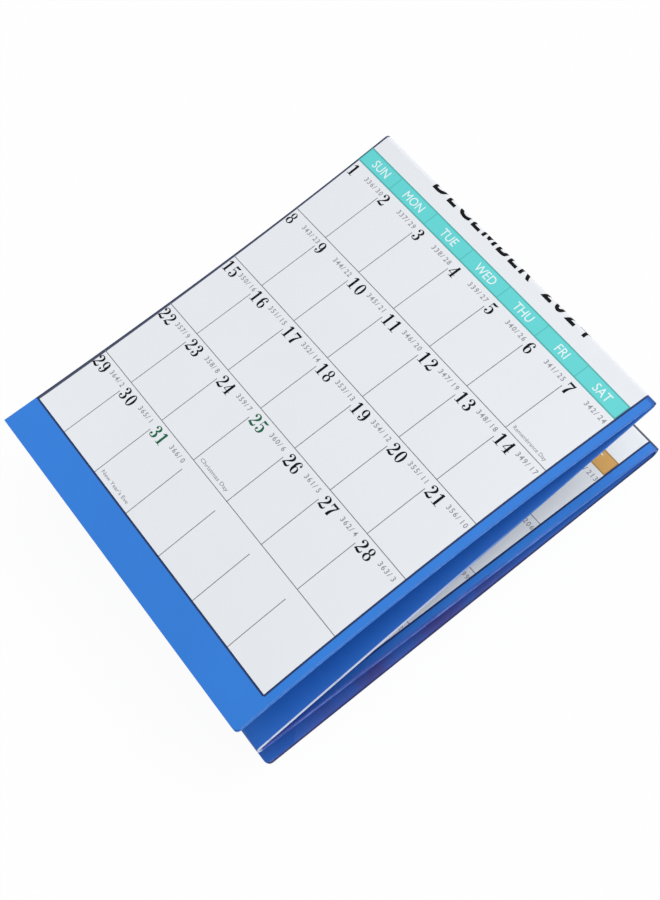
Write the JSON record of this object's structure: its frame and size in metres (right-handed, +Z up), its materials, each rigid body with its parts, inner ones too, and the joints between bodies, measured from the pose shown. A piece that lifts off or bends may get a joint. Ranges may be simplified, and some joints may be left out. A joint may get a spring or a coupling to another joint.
{
  "type": "folded wall calendar",
  "caption": "Large laminated yearly wall calendar with a plain blue back, fan-folded and then zigzag-folded to one month's page, springing open a little as it lies.",
  "frame": {"origin": "middle of the base, on the surface that the lowest layer lies on", "axes": "+X across the page from its first weekday to its last, +Y up the page, +Z up, away from the surface"},
  "size_m": [0.1958, 0.2392, 0.0729],
  "materials": {
    "blue_sheet": "blue laminated paper, semi-gloss film",
    "white_ink": "white printed page under semi-gloss film",
    "teal_ink": "teal print under semi-gloss film",
    "tan_ink": "tan print under semi-gloss film",
    "coral_ink": "coral print under semi-gloss film",
    "green_ink": "green print under semi-gloss film",
    "grey_ink": "fine grey ruled lines"
  },
  "bodies": {
    "root": {"calendar_sheet": "blue_sheet", "white_ground": "white_ink", "header_band_march": "green_ink", "header_band_june": "tan_ink", "header_band_september": "coral_ink", "header_band_december": "teal_ink", "grid_lines_march": "grey_ink", "grid_lines_june": "grey_ink", "grid_lines_september": "grey_ink", "grid_lines_december": "grey_ink"}
  },
  "joints": []
}
